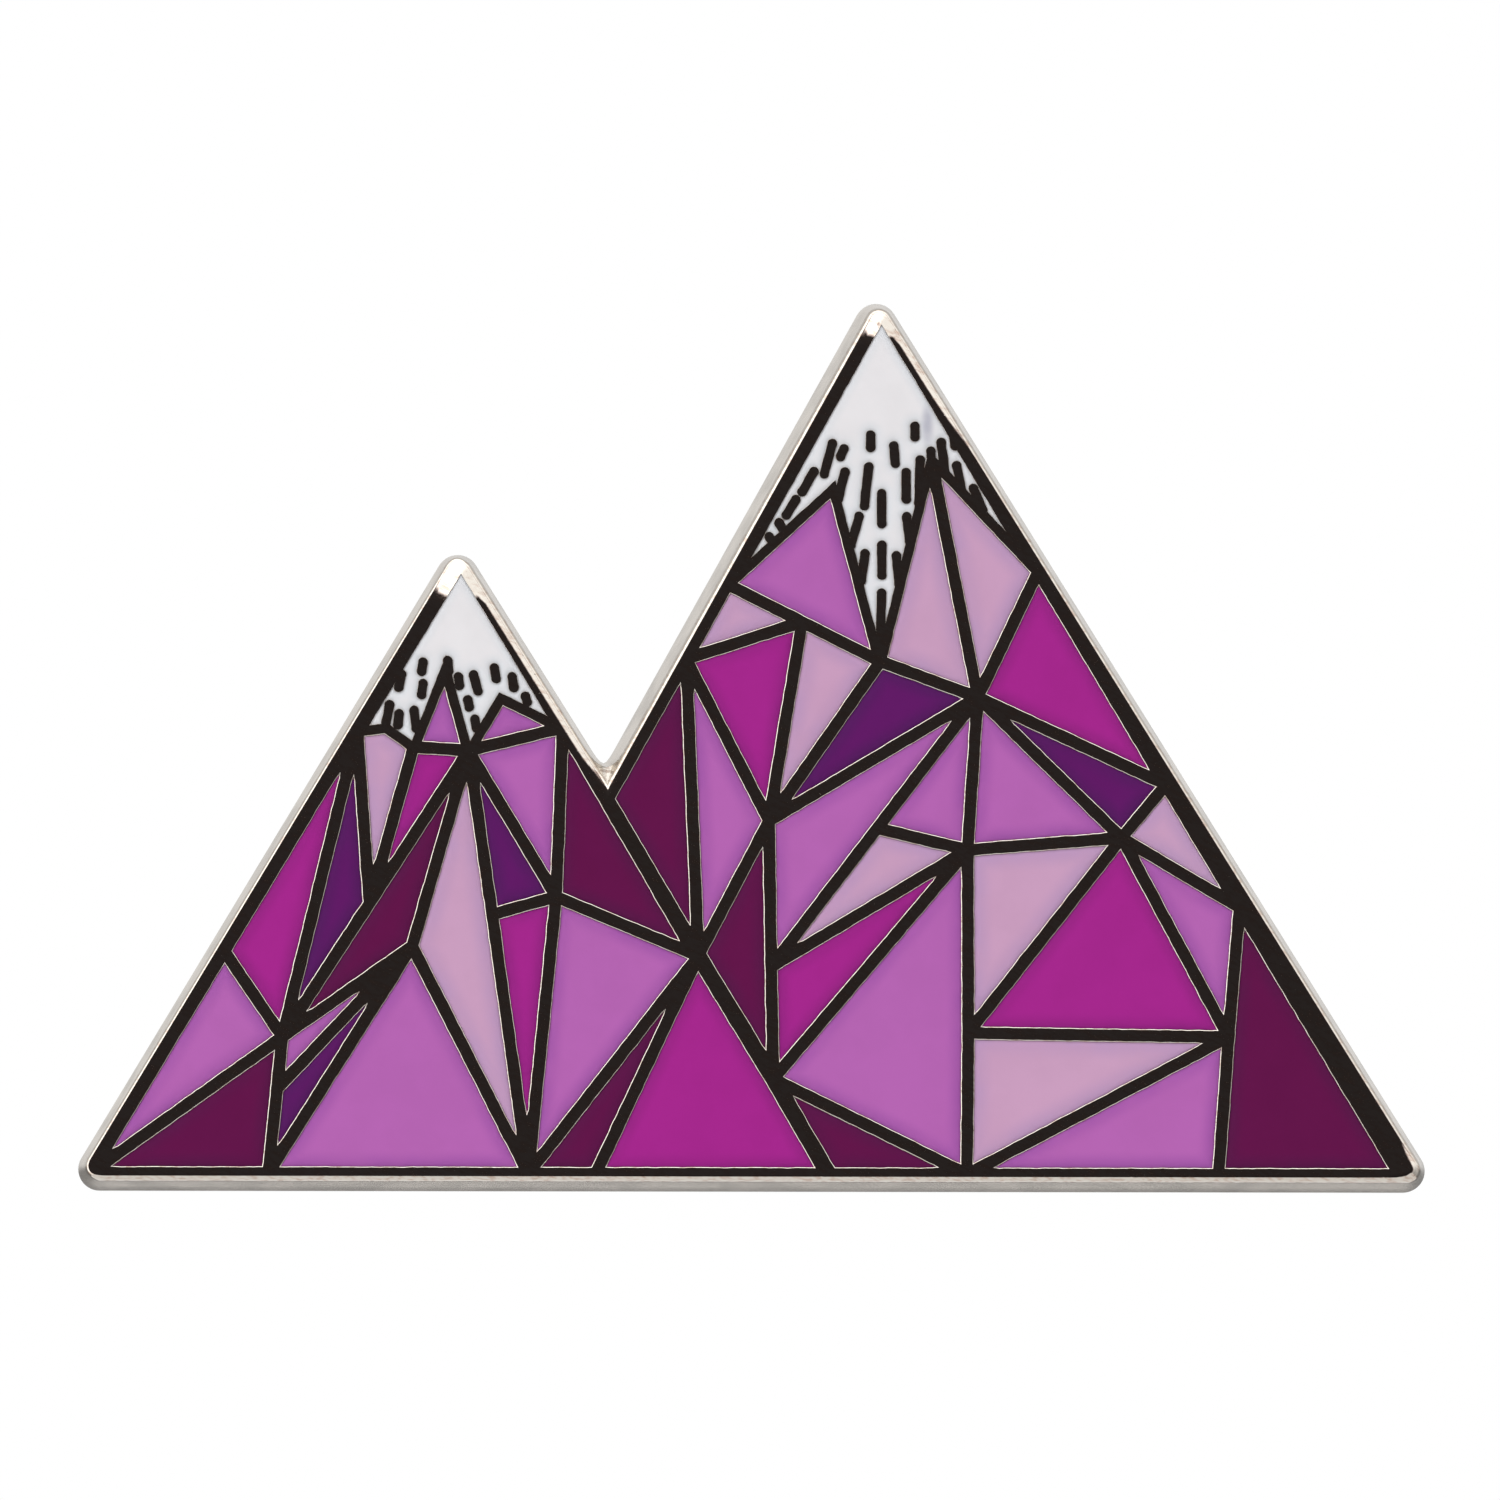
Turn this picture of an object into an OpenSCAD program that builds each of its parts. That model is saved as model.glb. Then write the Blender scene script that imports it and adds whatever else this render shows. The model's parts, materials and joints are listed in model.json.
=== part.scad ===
// A hard enamel pin: two snow-capped mountains cut into coloured facets by raised metal lines.
// It is worn upright, so +Z is up, the face looks along -Y and the back face is the plane y = 0.
// The origin is on the back face, midway between the two posts.

/* [Outline] */
// Width of the base line between the two pointed corners, before they are rounded
pin_w = 38.9; // [32:0.1:48]
// Height from the base line to the point of the tall peak, before it is rounded
pin_h = 25.6; // [21:0.1:32]
// Thickness of the metal base
base_t = 1.5; // [1.2:0.1:2.4]
// Radius of the outer corners
corner_r = 0.6; // [0.45:0.05:0.9]
// How far the side wall leans in between the back edge and the shoulder
side_draft = 0.25; // [0.1:0.01:0.32]
// Width of the bevel that stands in for the polished shoulder
shoulder = 0.08; // [0.04:0.01:0.1]
// Height of the upright edge next to the back face
back_edge = 0.3; // [0.1:0.05:0.5]

/* [Metal lines] */
// Width of the line between two facets
line_w = 0.4; // [0.3:0.01:0.5]
// Width of the line along the ridge where the two mountains meet
ridge_w = 0.52; // [0.4:0.01:0.65]
// Width of the metal rim on the outer slopes near the peaks, from the back edge to the enamel
rim_w = 0.59; // [0.48:0.01:0.65]
// Width of the metal rim on the left slope of the tall mountain
tall_rim_w = 0.66; // [0.5:0.01:0.72]
// Width of the metal rim on the right slope of the low mountain, in the valley
valley_rim_w = 0.72; // [0.5:0.01:0.8]
// Width of the metal rim along the base line
base_rim_w = 0.63; // [0.52:0.01:0.8]
// Width of the metal rim at the foot of the right slope, where it is widest
right_rim_w = 1.1; // [0.7:0.01:1.15]
// Distance from the middle of a line to the edge of a snow cap
snow_margin = 0.1; // [0.08:0.01:0.2]
// Width of the loose dashes in the snow
dash_w = 0.26; // [0.2:0.01:0.3]

/* [Enamel] */
// Depth of the recess that holds the enamel
pocket_depth = 0.6; // [0.3:0.05:0.8]
// How far the enamel stops below the metal
enamel_dip = 0.03; // [0.01:0.01:0.1]

/* [Posts] */
// Distance between the two posts
post_pitch = 15; // [13:0.5:18]
// Height of the posts above the base line
post_up = 6.6; // [6:0.1:8]
// Diameter of a post
post_d = 1.2; // [0.9:0.05:1.4]
// Length of a post behind the back face
post_len = 8.5; // [7.5:0.1:11]
// Length of the point
tip_len = 1.5; // [1:0.1:2]
// Flat left on the end of the point
tip_d = 0.16; // [0.1:0.02:0.3]
// Width of the ring groove near the point
groove_w = 0.5; // [0.3:0.05:0.8]
// Depth of the ring groove
groove_depth = 0.1; // [0.05:0.01:0.2]
// Shank left between the groove and the point
groove_land = 0.5; // [0.3:0.1:1]
// Depth of the blind hole in the base that takes the foot of a post
foot_depth = 0.45; // [0.3:0.05:0.5]

/* [Solder] */
// Diameter of the solder, and of the recess that it fills
solder_d = 3; // [2.4:0.1:3.6]
// Depth of the recess for the solder
solder_recess = 0.2; // [0.1:0.05:0.3]
// Height of the solder cone up the post
solder_h = 0.5; // [0.3:0.05:0.7]
// Wall of solder left at the top of the cone
solder_lip = 0.12; // [0.08:0.01:0.2]

/* [Clutch] */
// Outer diameter of the clutch cap
cap_d = 11.5; // [10.5:0.1:12.4]
// Thickness of the clutch sheet
sheet_t = 0.35; // [0.3:0.01:0.45]
// Height of the cap
cap_h = 2; // [1.8:0.1:2.2]
// Width of the lip that is turned in at the back of the cap
cap_lip = 0.8; // [0.6:0.05:1]
// Clearance round the post in the hole of the cap
cap_clearance = 0.15; // [0.1:0.01:0.25]
// Gap between the back face and the clutch, which the fabric fills
fabric_gap = 2.4; // [2.2:0.1:3]
// Clearance between a closed jaw and the post
jaw_clearance = 0.03; // [0.02:0.01:0.05]
// Gap between the two closed jaws
jaw_gap = 0.2; // [0.15:0.01:0.3]
// Height of the underside of the jaws above the face of the cap
jaw_z = 1.15; // [1:0.05:1.2]
// Distance from the post to the axle of a wing
axle_y = 2.1; // [1.9:0.05:2.3]
// Height of the axle above the face of the cap
axle_z = 2.3; // [2.2:0.05:2.5]
// Diameter of the axle, which is rolled from the edge of the leaf
axle_d = 0.6; // [0.5:0.05:0.7]
// Clearance round the axle in its lugs
axle_clearance = 0.04; // [0.02:0.01:0.06]
// Thickness of a lug
lug_t = 0.5; // [0.4:0.05:0.6]
// Wall of the lug round the axle
lug_wall = 0.3; // [0.25:0.05:0.4]
// Width of a jaw leaf
leaf_w = 3.4; // [3:0.1:3.8]
// Gap between a leaf and a lug
leaf_gap = 0.2; // [0.15:0.05:0.3]
// Width of a wing across its lobe
wing_w = 6.6; // [6:0.1:7.4]
// Reach of a wing from the post to its tip
wing_reach = 5.4; // [4.8:0.1:6]
// Height of the tip of a wing above the face of the cap
wing_tip_z = 4.6; // [4.2:0.1:5]

/* [Hidden] */
$fn = 48;
// A cut runs this far past the surface that it opens
over = 0.2;
// The drawing is laid out on a sheet of this width and height, then scaled to the pin
sheet_w = 38.9;
sheet_h = 25.6;
// Place of the facet drawing on the sheet, sideways and up
drawing_x = -0.15;
drawing_z = -0.1;

metal = [0.62, 0.60, 0.58];
brass = [0.78, 0.76, 0.72];
enamel_colours = [
    ["snow", [0.90, 0.90, 0.91]],
    ["pale_pink", [0.77, 0.61, 0.74]],
    ["orchid", [0.69, 0.39, 0.68]],
    ["magenta", [0.63, 0.17, 0.54]],
    ["plum", [0.38, 0.11, 0.29]],
    ["violet", [0.37, 0.13, 0.40]]
];

// ---- Plane geometry -------------------------------------------------------------------------

function sheet_x(x) = x * pin_w / sheet_w;
function sheet_z(z) = z * pin_h / sheet_h;
function at(x, z) = [sheet_x(x + drawing_x), sheet_z(z + drawing_z)];
function next(list, i) = list[(i + 1) % len(list)];
function previous(list, i) = list[(i + len(list) - 1) % len(list)];
function sum(list, i = 0) = i < len(list) ? list[i] + sum(list, i + 1) : 0;
function area(p) = sum([for (i = [0:len(p) - 1]) cross(p[i], next(p, i)) / 2]);
function turned(p) = [for (i = [1:len(p)]) p[len(p) - i]];
function anticlockwise(p) = area(p) < 0 ? turned(p) : p;
// Unit normal of the edge from a to b, on its left
function left_normal(a, b) = [a.y - b.y, b.x - a.x] / norm(b - a);
// Shift of a corner that moves its two edges inward by da and db
function corner_shift(na, nb, da, db) =
    abs(cross(na, nb)) < 0.1
        ? (na + nb) / norm(na + nb) * (da + db) / 2
        : [da * nb.y - db * na.y, db * na.x - da * nb.x] / cross(na, nb);
// The polygon p with edge i, from point i to the next, moved inward by d[i]
function inset(p, d) = [
    for (i = [0:len(p) - 1])
        p[i] + corner_shift(
            left_normal(previous(p, i), p[i]),
            left_normal(p[i], next(p, i)),
            previous(d, i),
            d[i]
        )
];
function has(list, p) = len([for (q = list) if (norm(q - p) < 0.001) 1]) > 0;
// The point of the line a to b at height z
function at_height(a, b, z) = a + (b - a) * (z - a.y) / (b.y - a.y);

// ---- The outline and the middle lines of the rim ----------------------------------------------

left_foot = [sheet_x(-19.45), 0];
right_foot = [sheet_x(19.45), 0];
tall_top = [sheet_x(3.5), sheet_z(25.6)];
low_top = [sheet_x(-8.31), sheet_z(18.43)];
valley = [sheet_x(-4.2), sheet_z(11.86)];
// Each mountain is a triangle, and the inner slopes run on down to the base line
low_triangle = [left_foot, at_height(valley, low_top, 0), low_top];
tall_triangle = [at_height(valley, tall_top, 0), right_foot, tall_top];

slope_mid = rim_w - line_w / 2;
tall_mid = tall_rim_w - line_w / 2;
valley_mid = valley_rim_w - line_w / 2;
base_mid = base_rim_w - line_w / 2;
right_mid = right_rim_w - line_w / 2;
// The corner at p, with its two edges moved in by da and db
function moved_corner(before, p, after, da, db) =
    p + corner_shift(left_normal(before, p), left_normal(p, after), da, db);
left_corner = moved_corner(low_top, left_foot, right_foot, slope_mid, base_mid);
right_corner = moved_corner(left_foot, right_foot, tall_top, base_mid, right_mid);
tall_peak = moved_corner(right_foot, tall_top, valley, slope_mid, tall_mid);
notch = moved_corner(tall_top, valley, low_top, tall_mid, valley_mid);
low_peak = moved_corner(valley, low_top, left_foot, slope_mid, slope_mid);

function on_slope(foot, peak, z) = at_height(foot, peak, at(0, z).y);
function on_left_slope(z) = on_slope(left_corner, low_peak, z);
function on_low_right_slope(z) = on_slope(notch, low_peak, z);
function on_tall_left_slope(z) = on_slope(notch, tall_peak, z);
function on_right_slope(z) = on_slope(right_corner, tall_peak, z);
function on_base(x) = [at(x, 0).x, left_corner.y];

// ---- Points where lines meet: the low mountain on the left -------------------------------------

a_rim_top = on_left_slope(12.95);
a_rim_low = on_left_slope(6.75);
a_rim_right = on_low_right_slope(13.05);
a_base_left = on_base(-13.6);
a_base_mid = on_base(-6.3);
a_hub = at(-7.95, 12.4);
a_fork = at(-9.5, 12.5);
a_brow = at(-10.25, 13.05);
a_left_spike = at(-8.6, 14.75);
a_right_spike = at(-7.05, 13.9);
a_west = at(-10.75, 8.1);
a_far_west = at(-13.2, 4.35);
a_middle = at(-9.55, 6.9);
a_low_west = at(-13.35, 2.9);
a_east = at(-5.5, 8.3);
a_south = at(-7.3, 7.8);

// ---- The ridge between the mountains ------------------------------------------------------------

ridge_mid = at(-1.5, 6.65);
ridge_low = at(0.6, 3.2);
ridge_foot = on_base(2.15);
base_step = on_base(-4.4);
ridge = [notch, ridge_mid, ridge_low, ridge_foot];

// ---- Points where lines meet: the tall mountain on the right ------------------------------------

b_rim_left_high = on_tall_left_slope(17.1);
b_rim_left_low = on_tall_left_slope(15);
b_rim_right_high = on_right_slope(17.5);
b_rim_right_mid = on_right_slope(11.5);
b_rim_right_low = on_right_slope(8.05);
b_base_mid = on_base(6.05);
b_base_right = on_base(13.15);
b_left_spike = at(2.35, 19.85);
b_right_spike = at(5.1, 20.7);
b_hub = at(3.65, 14.95);
b_fork = at(1.45, 16.05);
b_west = at(0.5, 10.45);
b_centre = at(6.4, 13.95);
b_east = at(10.45, 10);
b_inner_west = at(3.55, 10.25);
b_inner_east = at(6.1, 9.65);
b_low_west = at(0.55, 6.35);
b_low_middle = at(6.1, 4.5);
b_low_east = at(13.45, 4.4);

// ---- Facets: colour and corners ------------------------------------------------------------------

left_facets = [
    ["snow", [low_peak, a_rim_top, a_brow, a_fork, a_left_spike, a_hub, a_right_spike, a_rim_right]],
    ["orchid", [a_left_spike, a_fork, a_hub]],
    ["orchid", [a_right_spike, a_hub, a_rim_right]],
    ["pale_pink", [a_rim_top, a_west, a_fork, a_brow]],
    ["magenta", [a_fork, a_west, a_hub]],
    ["orchid", [a_hub, a_east, a_rim_right]],
    ["magenta", [a_rim_top, a_rim_low, a_far_west]],
    ["violet", [a_rim_top, a_far_west, a_west]],
    ["plum", [a_hub, a_west, a_far_west, a_middle]],
    ["pale_pink", [a_hub, a_middle, a_base_mid, a_south]],
    ["violet", [a_hub, a_south, a_east]],
    ["plum", [a_rim_right, a_east, ridge_mid, notch]],
    ["orchid", [a_rim_low, left_corner, a_far_west]],
    ["plum", [a_far_west, left_corner, a_base_left, a_low_west]],
    ["orchid", [a_middle, a_far_west, a_low_west]],
    ["violet", [a_middle, a_low_west, a_base_left]],
    ["orchid", [a_middle, a_base_left, a_base_mid]],
    ["magenta", [a_south, a_base_mid, a_east]],
    ["orchid", [a_east, a_base_mid, ridge_mid]],
    ["plum", [ridge_mid, a_base_mid, base_step]],
    ["magenta", [ridge_mid, base_step, ridge_foot, ridge_low]]
];

right_facets = [
    ["snow", [tall_peak, b_rim_left_high, b_left_spike, b_hub, b_right_spike, b_rim_right_high]],
    ["orchid", [b_left_spike, b_rim_left_high, b_fork, b_hub]],
    ["pale_pink", [b_rim_left_high, b_rim_left_low, b_fork]],
    ["magenta", [b_fork, b_rim_left_low, b_west]],
    ["pale_pink", [b_fork, b_west, b_hub]],
    ["pale_pink", [b_right_spike, b_hub, b_centre]],
    ["pale_pink", [b_right_spike, b_centre, b_rim_right_high]],
    ["magenta", [b_rim_right_high, b_centre, b_rim_right_mid]],
    ["violet", [b_hub, b_west, b_centre]],
    ["violet", [b_centre, b_east, b_rim_right_mid]],
    ["plum", [b_rim_left_low, notch, ridge_mid]],
    ["orchid", [b_rim_left_low, ridge_mid, b_west]],
    ["orchid", [b_centre, b_west, b_low_west, b_inner_west]],
    ["orchid", [b_centre, b_inner_west, b_inner_east]],
    ["orchid", [b_centre, b_inner_east, b_east]],
    ["pale_pink", [b_inner_west, b_low_west, b_inner_east]],
    ["pale_pink", [b_inner_east, b_low_middle, b_east]],
    ["plum", [b_west, ridge_mid, ridge_low, b_low_west]],
    ["magenta", [b_inner_east, b_low_west, ridge_low]],
    ["orchid", [b_inner_east, ridge_low, b_base_mid, b_low_middle]],
    ["magenta", [b_east, b_low_middle, b_low_east]],
    ["pale_pink", [b_rim_right_mid, b_east, b_rim_right_low]],
    ["orchid", [b_east, b_low_east, b_rim_right_low]],
    ["pale_pink", [b_low_middle, b_base_mid, b_low_east]],
    ["orchid", [b_low_east, b_base_mid, b_base_right]],
    ["plum", [b_rim_right_low, b_low_east, b_base_right, right_corner]],
    ["plum", [ridge_low, ridge_foot, b_base_mid]]
];

// Loose dashes and short spurs of metal in the snow: the two ends of each, with its width
left_dashes = [
    for (d = [
        [-9.2, 15, -9.3, 14.5],
        [-9.8, 14.65, -9.95, 14.05],
        [-9.2, 14.4, -9.3, 13.85],
        [-10.15, 13.8, -10.3, 13.05],
        [-9.5, 13.65, -9.4, 12.9],
        [-8.55, 15.05, -8.5, 14.5],
        [-8.25, 14.6, -8.2, 14.1],
        [-7.85, 14.65, -7.65, 13.95],
        [-8, 13.95, -7.9, 13.5],
        [-7.25, 14.85, -7.15, 14.3],
        [-6.75, 14.6, -6.65, 14.05],
        [-7.8, 13.4, -7.7, 12.9],
        [-6.4, 14.05, -6.25, 13.65],
        [-9.9, 13.55, -9.95, 13]
    ]) [at(d[0], d[1]), at(d[2], d[3])]
];
right_dashes = [
    for (d = [
        [2.35, 21.2, 2.05, 20.1],
        [2.7, 21.05, 2.5, 20.6],
        [1.85, 20.4, 1.4, 19.6],
        [1.35, 19.6, 0.95, 18.95],
        [3.4, 21.45, 3.4, 20.85],
        [4.65, 21.7, 4.65, 21.15],
        [4.05, 21.15, 4.1, 20.4],
        [3.35, 20.55, 3.2, 19.2],
        [4.4, 20.4, 4.4, 19.4],
        [3.7, 19.8, 3.7, 18.7],
        [3.7, 18.35, 3.7, 17.25],
        [2.7, 20.4, 2.45, 19.4],
        [3.1, 19.15, 2.8, 18.1],
        [4.4, 19.15, 4.5, 18.2],
        [3.25, 18.1, 3.1, 17.1],
        [4.1, 18.05, 4.2, 17],
        [3.7, 17, 3.65, 15.3],
        [4.8, 20.75, 4.75, 19.3],
        [5.1, 21, 5.1, 20.6],
        [5.37, 21.25, 5.52, 20.1],
        [5.74, 21.4, 5.8, 20.9],
        [5.8, 20.6, 6, 19.6],
        [6.25, 19.95, 6.6, 19.1],
        [0.75, 18.95, 1, 18.5],
        [0.45, 18.55, 0.7, 18.2]
    ]) [at(d[0], d[1]), at(d[2], d[3])]
];

function two_digits(n) = n < 10 ? str("0", n) : str(n);
function facet_name(side, facets, i) =
    i == 0 ? str(side, "_snow_cap") : str(side, "_facet_", two_digits(i + 1), "_", facets[i][0]);
function is_rim(p) =
    has([left_corner, right_corner, tall_peak, notch, low_peak], p)
        || has([a_rim_top, a_rim_low, a_rim_right, a_base_left, a_base_mid, base_step, ridge_foot], p)
        || has([b_rim_left_high, b_rim_right_high], p);
// Distance from the line a to b to the enamel of a facet beside it
function margin(a, b, colour) =
    colour == "snow" && !(is_rim(a) && is_rim(b)) ? snow_margin
        : has(ridge, a) && has(ridge, b) ? ridge_w / 2
        : line_w / 2;
function enamel_outline(facet) =
    let (p = anticlockwise(facet[1]))
    inset(p, [for (i = [0:len(p) - 1]) margin(p[i], next(p, i), facet[0])]);

left_fills = [for (i = [0:len(left_facets) - 1]) facet_name("left", left_facets, i)];
right_fills = [for (i = [0:len(right_facets) - 1]) facet_name("right", right_facets, i)];
fittings = [
    "left_post", "right_post", "left_solder", "right_solder", "left_clutch_cap", "right_clutch_cap",
    "left_clutch_upper_wing", "left_clutch_lower_wing",
    "right_clutch_upper_wing", "right_clutch_lower_wing"
];

// ---- Base ------------------------------------------------------------------------------------------

// Turns the drawing sheet upright: its height becomes +Z, and what rises from it points to -Y
module upright() {
    translate([0, 0, -post_up])
        rotate([90, 0, 0])
            children();
}

function corner_centre(t, i) =
    let (na = left_normal(previous(t, i), t[i]), nb = left_normal(t[i], next(t, i)))
    t[i] + corner_shift(na, nb, corner_r, corner_r);

module rounded_triangle(t) {
    centres = [for (i = [0:2]) corner_centre(t, i)];
    for (c = centres)
        translate(c)
            circle(r = corner_r);
    polygon([
        for (i = [0:2])
            for (side = [previous(t, i), next(t, i)])
                let (n = side == previous(t, i) ? left_normal(side, t[i]) : left_normal(t[i], side))
                centres[i] - corner_r * n
    ]);
}

// What is cut away outside the leaning wall and the bevel along the edge from a to b
module edge_cut(a, b) {
    run = b - a;
    reach = 2;
    bevel_in = side_draft + shoulder;
    translate(a)
        rotate([0, 0, atan2(run.y, run.x)])
            translate([-reach, 0, 0])
                rotate([90, 0, 90])
                    linear_extrude(norm(run) + 2 * reach)
                        polygon([
                            [0, back_edge],
                            [side_draft, base_t - shoulder],
                            [bevel_in, base_t],
                            [bevel_in, base_t + over],
                            [-reach, base_t + over],
                            [-reach, back_edge]
                        ]);
}

// A mountain with an upright back edge, leaning side walls and a bevelled shoulder
module mountain(t) {
    upright()
        difference() {
            linear_extrude(base_t)
                rounded_triangle(t);
            for (i = [0:2])
                edge_cut(t[i], next(t, i));
        }
}

// Extrudes a drawing forward from a depth in front of the back face
module raised(depth, height) {
    upright()
        translate([0, 0, depth])
            linear_extrude(height)
                children();
}

module dash(ends) {
    run = (ends[1] - ends[0]) / norm(ends[1] - ends[0]);
    a = ends[0] + run * dash_w / 2;
    b = ends[1] - run * dash_w / 2;
    // The bar is a little narrower than its round ends, so they cross instead of only touching
    across = [-run.y, run.x] * dash_w * 0.48;
    translate(a)
        circle(d = dash_w);
    translate(b)
        circle(d = dash_w);
    polygon([a + across, b + across, b - across, a - across]);
}

module snow_outline(facet, dashes) {
    difference() {
        polygon(enamel_outline(facet));
        for (d = dashes)
            dash(d);
    }
}

module facet_outline(facets, i, dashes) {
    if (i == 0)
        snow_outline(facets[i], dashes);
    else
        polygon(enamel_outline(facets[i]));
}

module pockets(facets, dashes) {
    for (i = [0:len(facets) - 1])
        raised(base_t - pocket_depth, pocket_depth + over)
            facet_outline(facets, i, dashes);
}

// Places a fitting at a post, with its own +Z pointing away from the back face
module at_post(side) {
    translate([side * post_pitch / 2, 0, 0])
        rotate([-90, 0, 0])
            children();
}

module pin_base() {
    color(metal)
        difference() {
            union() {
                mountain(low_triangle);
                mountain(tall_triangle);
            }
            pockets(left_facets, left_dashes);
            pockets(right_facets, right_dashes);
            for (side = [-1, 1])
                at_post(side) {
                    translate([0, 0, -solder_recess])
                        cylinder(d = solder_d, h = solder_recess + over);
                    translate([0, 0, -foot_depth])
                        cylinder(d = post_d, h = foot_depth + over);
                }
        }
}

// ---- Enamel ------------------------------------------------------------------------------------------

function colour_of(name) = [for (c = enamel_colours) if (c[0] == name) c[1]][0];

module enamel_fill(facets, i, dashes) {
    color(colour_of(facets[i][0]))
        raised(base_t - pocket_depth, pocket_depth - enamel_dip)
            facet_outline(facets, i, dashes);
}

// ---- Posts and solder -----------------------------------------------------------------------------------

module post(side) {
    r = post_d / 2;
    shank_end = post_len - tip_len;
    groove_end = shank_end - groove_land;
    groove_start = groove_end - groove_w;
    color(brass)
        at_post(side)
            rotate_extrude()
                polygon([
                    [0, -foot_depth],
                    [r, -foot_depth],
                    [r, groove_start],
                    [r - groove_depth, groove_start + groove_depth],
                    [r - groove_depth, groove_end - groove_depth],
                    [r, groove_end],
                    [r, shank_end],
                    [tip_d / 2, post_len],
                    [0, post_len]
                ]);
}

module solder(side) {
    color(metal)
        at_post(side)
            rotate_extrude()
                polygon([
                    [post_d / 2, -solder_recess],
                    [solder_d / 2, -solder_recess],
                    [solder_d / 2, 0],
                    [post_d / 2 + solder_lip, solder_h],
                    [post_d / 2, solder_h]
                ]);
}

// ---- Clutches ---------------------------------------------------------------------------------------------

cap_r = cap_d / 2;
cap_hole_r = post_d / 2 + cap_clearance;
axle_r = axle_d / 2;
lug_r = axle_r + axle_clearance + lug_wall;
lug_x = leaf_w / 2 + leaf_gap;
axle_len = 2 * (lug_x + lug_t);

module at_clutch(side) {
    at_post(side)
        translate([0, 0, fabric_gap])
            children();
}

module lug(side_x, side_y) {
    translate([side_x > 0 ? lug_x : -lug_x - lug_t, side_y * axle_y, 0])
        rotate([90, 0, 90])
            linear_extrude(lug_t)
                difference() {
                    union() {
                        translate([0, axle_z])
                            circle(r = lug_r);
                        translate([-lug_r, sheet_t / 2])
                            square([2 * lug_r, axle_z - sheet_t / 2]);
                    }
                    translate([0, axle_z])
                        circle(r = axle_r + axle_clearance);
                }
}

module clutch_cap(side) {
    color(brass)
        at_clutch(side) {
            rotate_extrude($fn = 96)
                polygon([
                    [cap_hole_r, 0],
                    [cap_r - sheet_t, 0],
                    [cap_r, sheet_t],
                    [cap_r, cap_h - sheet_t / 2],
                    [cap_r - sheet_t / 2, cap_h],
                    [cap_r - cap_lip, cap_h],
                    [cap_r - cap_lip, cap_h - sheet_t],
                    [cap_r - sheet_t, cap_h - sheet_t],
                    [cap_r - sheet_t, sheet_t],
                    [cap_hole_r, sheet_t]
                ]);
            for (side_x = [-1, 1])
                for (side_y = [-1, 1])
                    lug(side_x, side_y);
        }
}

// A bent strip seen from the side, with round ends
module strip(a, b) {
    across = left_normal(a, b) * sheet_t / 2;
    polygon([a + across, a - across, b - across, b + across]);
    translate(b)
        circle(d = sheet_t);
}

// Side view of the leaf: jaw, riser to the axle, wing
module leaf_profile() {
    half = sheet_t / 2;
    jaw = [jaw_gap / 2, jaw_z + half];
    knee = [axle_y - axle_r, jaw_z + half];
    axle = [axle_y, axle_z];
    strip(jaw, knee);
    strip(knee, axle);
    strip(axle, [wing_reach, wing_tip_z]);
}

// Plan of a leaf: a narrow jaw that widens into a rounded lobe beyond the axle
module leaf_plan() {
    lobe_r = wing_w * 0.18;
    lobe_y = wing_reach - lobe_r;
    translate([-leaf_w / 2, 0])
        square([leaf_w, lobe_y]);
    for (side_x = [-1, 1])
        translate([side_x * (wing_w / 2 - lobe_r), lobe_y])
            circle(r = lobe_r);
    translate([lobe_r - wing_w / 2, lobe_y - lobe_r / 2])
        square([wing_w - 2 * lobe_r, lobe_r * 3 / 2]);
}

module clutch_wing(side, side_y) {
    color(brass)
        at_clutch(side)
            mirror([0, side_y < 0 ? 1 : 0, 0])
                difference() {
                    union() {
                        intersection() {
                            translate([-wing_w / 2, 0, 0])
                                rotate([90, 0, 90])
                                    linear_extrude(wing_w)
                                        leaf_profile();
                            linear_extrude(wing_tip_z + 1)
                                leaf_plan();
                        }
                        translate([-axle_len / 2, axle_y, axle_z])
                            rotate([0, 90, 0])
                                cylinder(d = axle_d, h = axle_len);
                    }
                    cylinder(r = post_d / 2 + jaw_clearance, h = wing_tip_z);
                }
}

// ---- Nodes ---------------------------------------------------------------------------------------------------

pin_base();
for (i = [0:len(left_fills) - 1])
    enamel_fill(left_facets, i, left_dashes);
for (i = [0:len(right_fills) - 1])
    enamel_fill(right_facets, i, right_dashes);
post(-1);  // left_post
post(1);  // right_post
solder(-1);  // left_solder
solder(1);  // right_solder
clutch_cap(-1);  // left_clutch_cap
clutch_cap(1);  // right_clutch_cap
clutch_wing(-1, -1);  // left_clutch_upper_wing
clutch_wing(-1, 1);  // left_clutch_lower_wing
clutch_wing(1, -1);  // right_clutch_upper_wing
clutch_wing(1, 1);  // right_clutch_lower_wing
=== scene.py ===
"""A hard enamel pin: two snow-capped mountains in coloured facets, with posts and butterfly clutches."""

import json
import math

import bmesh
import bpy
import numpy as np
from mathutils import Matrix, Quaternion, Vector, geometry, noise


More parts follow.
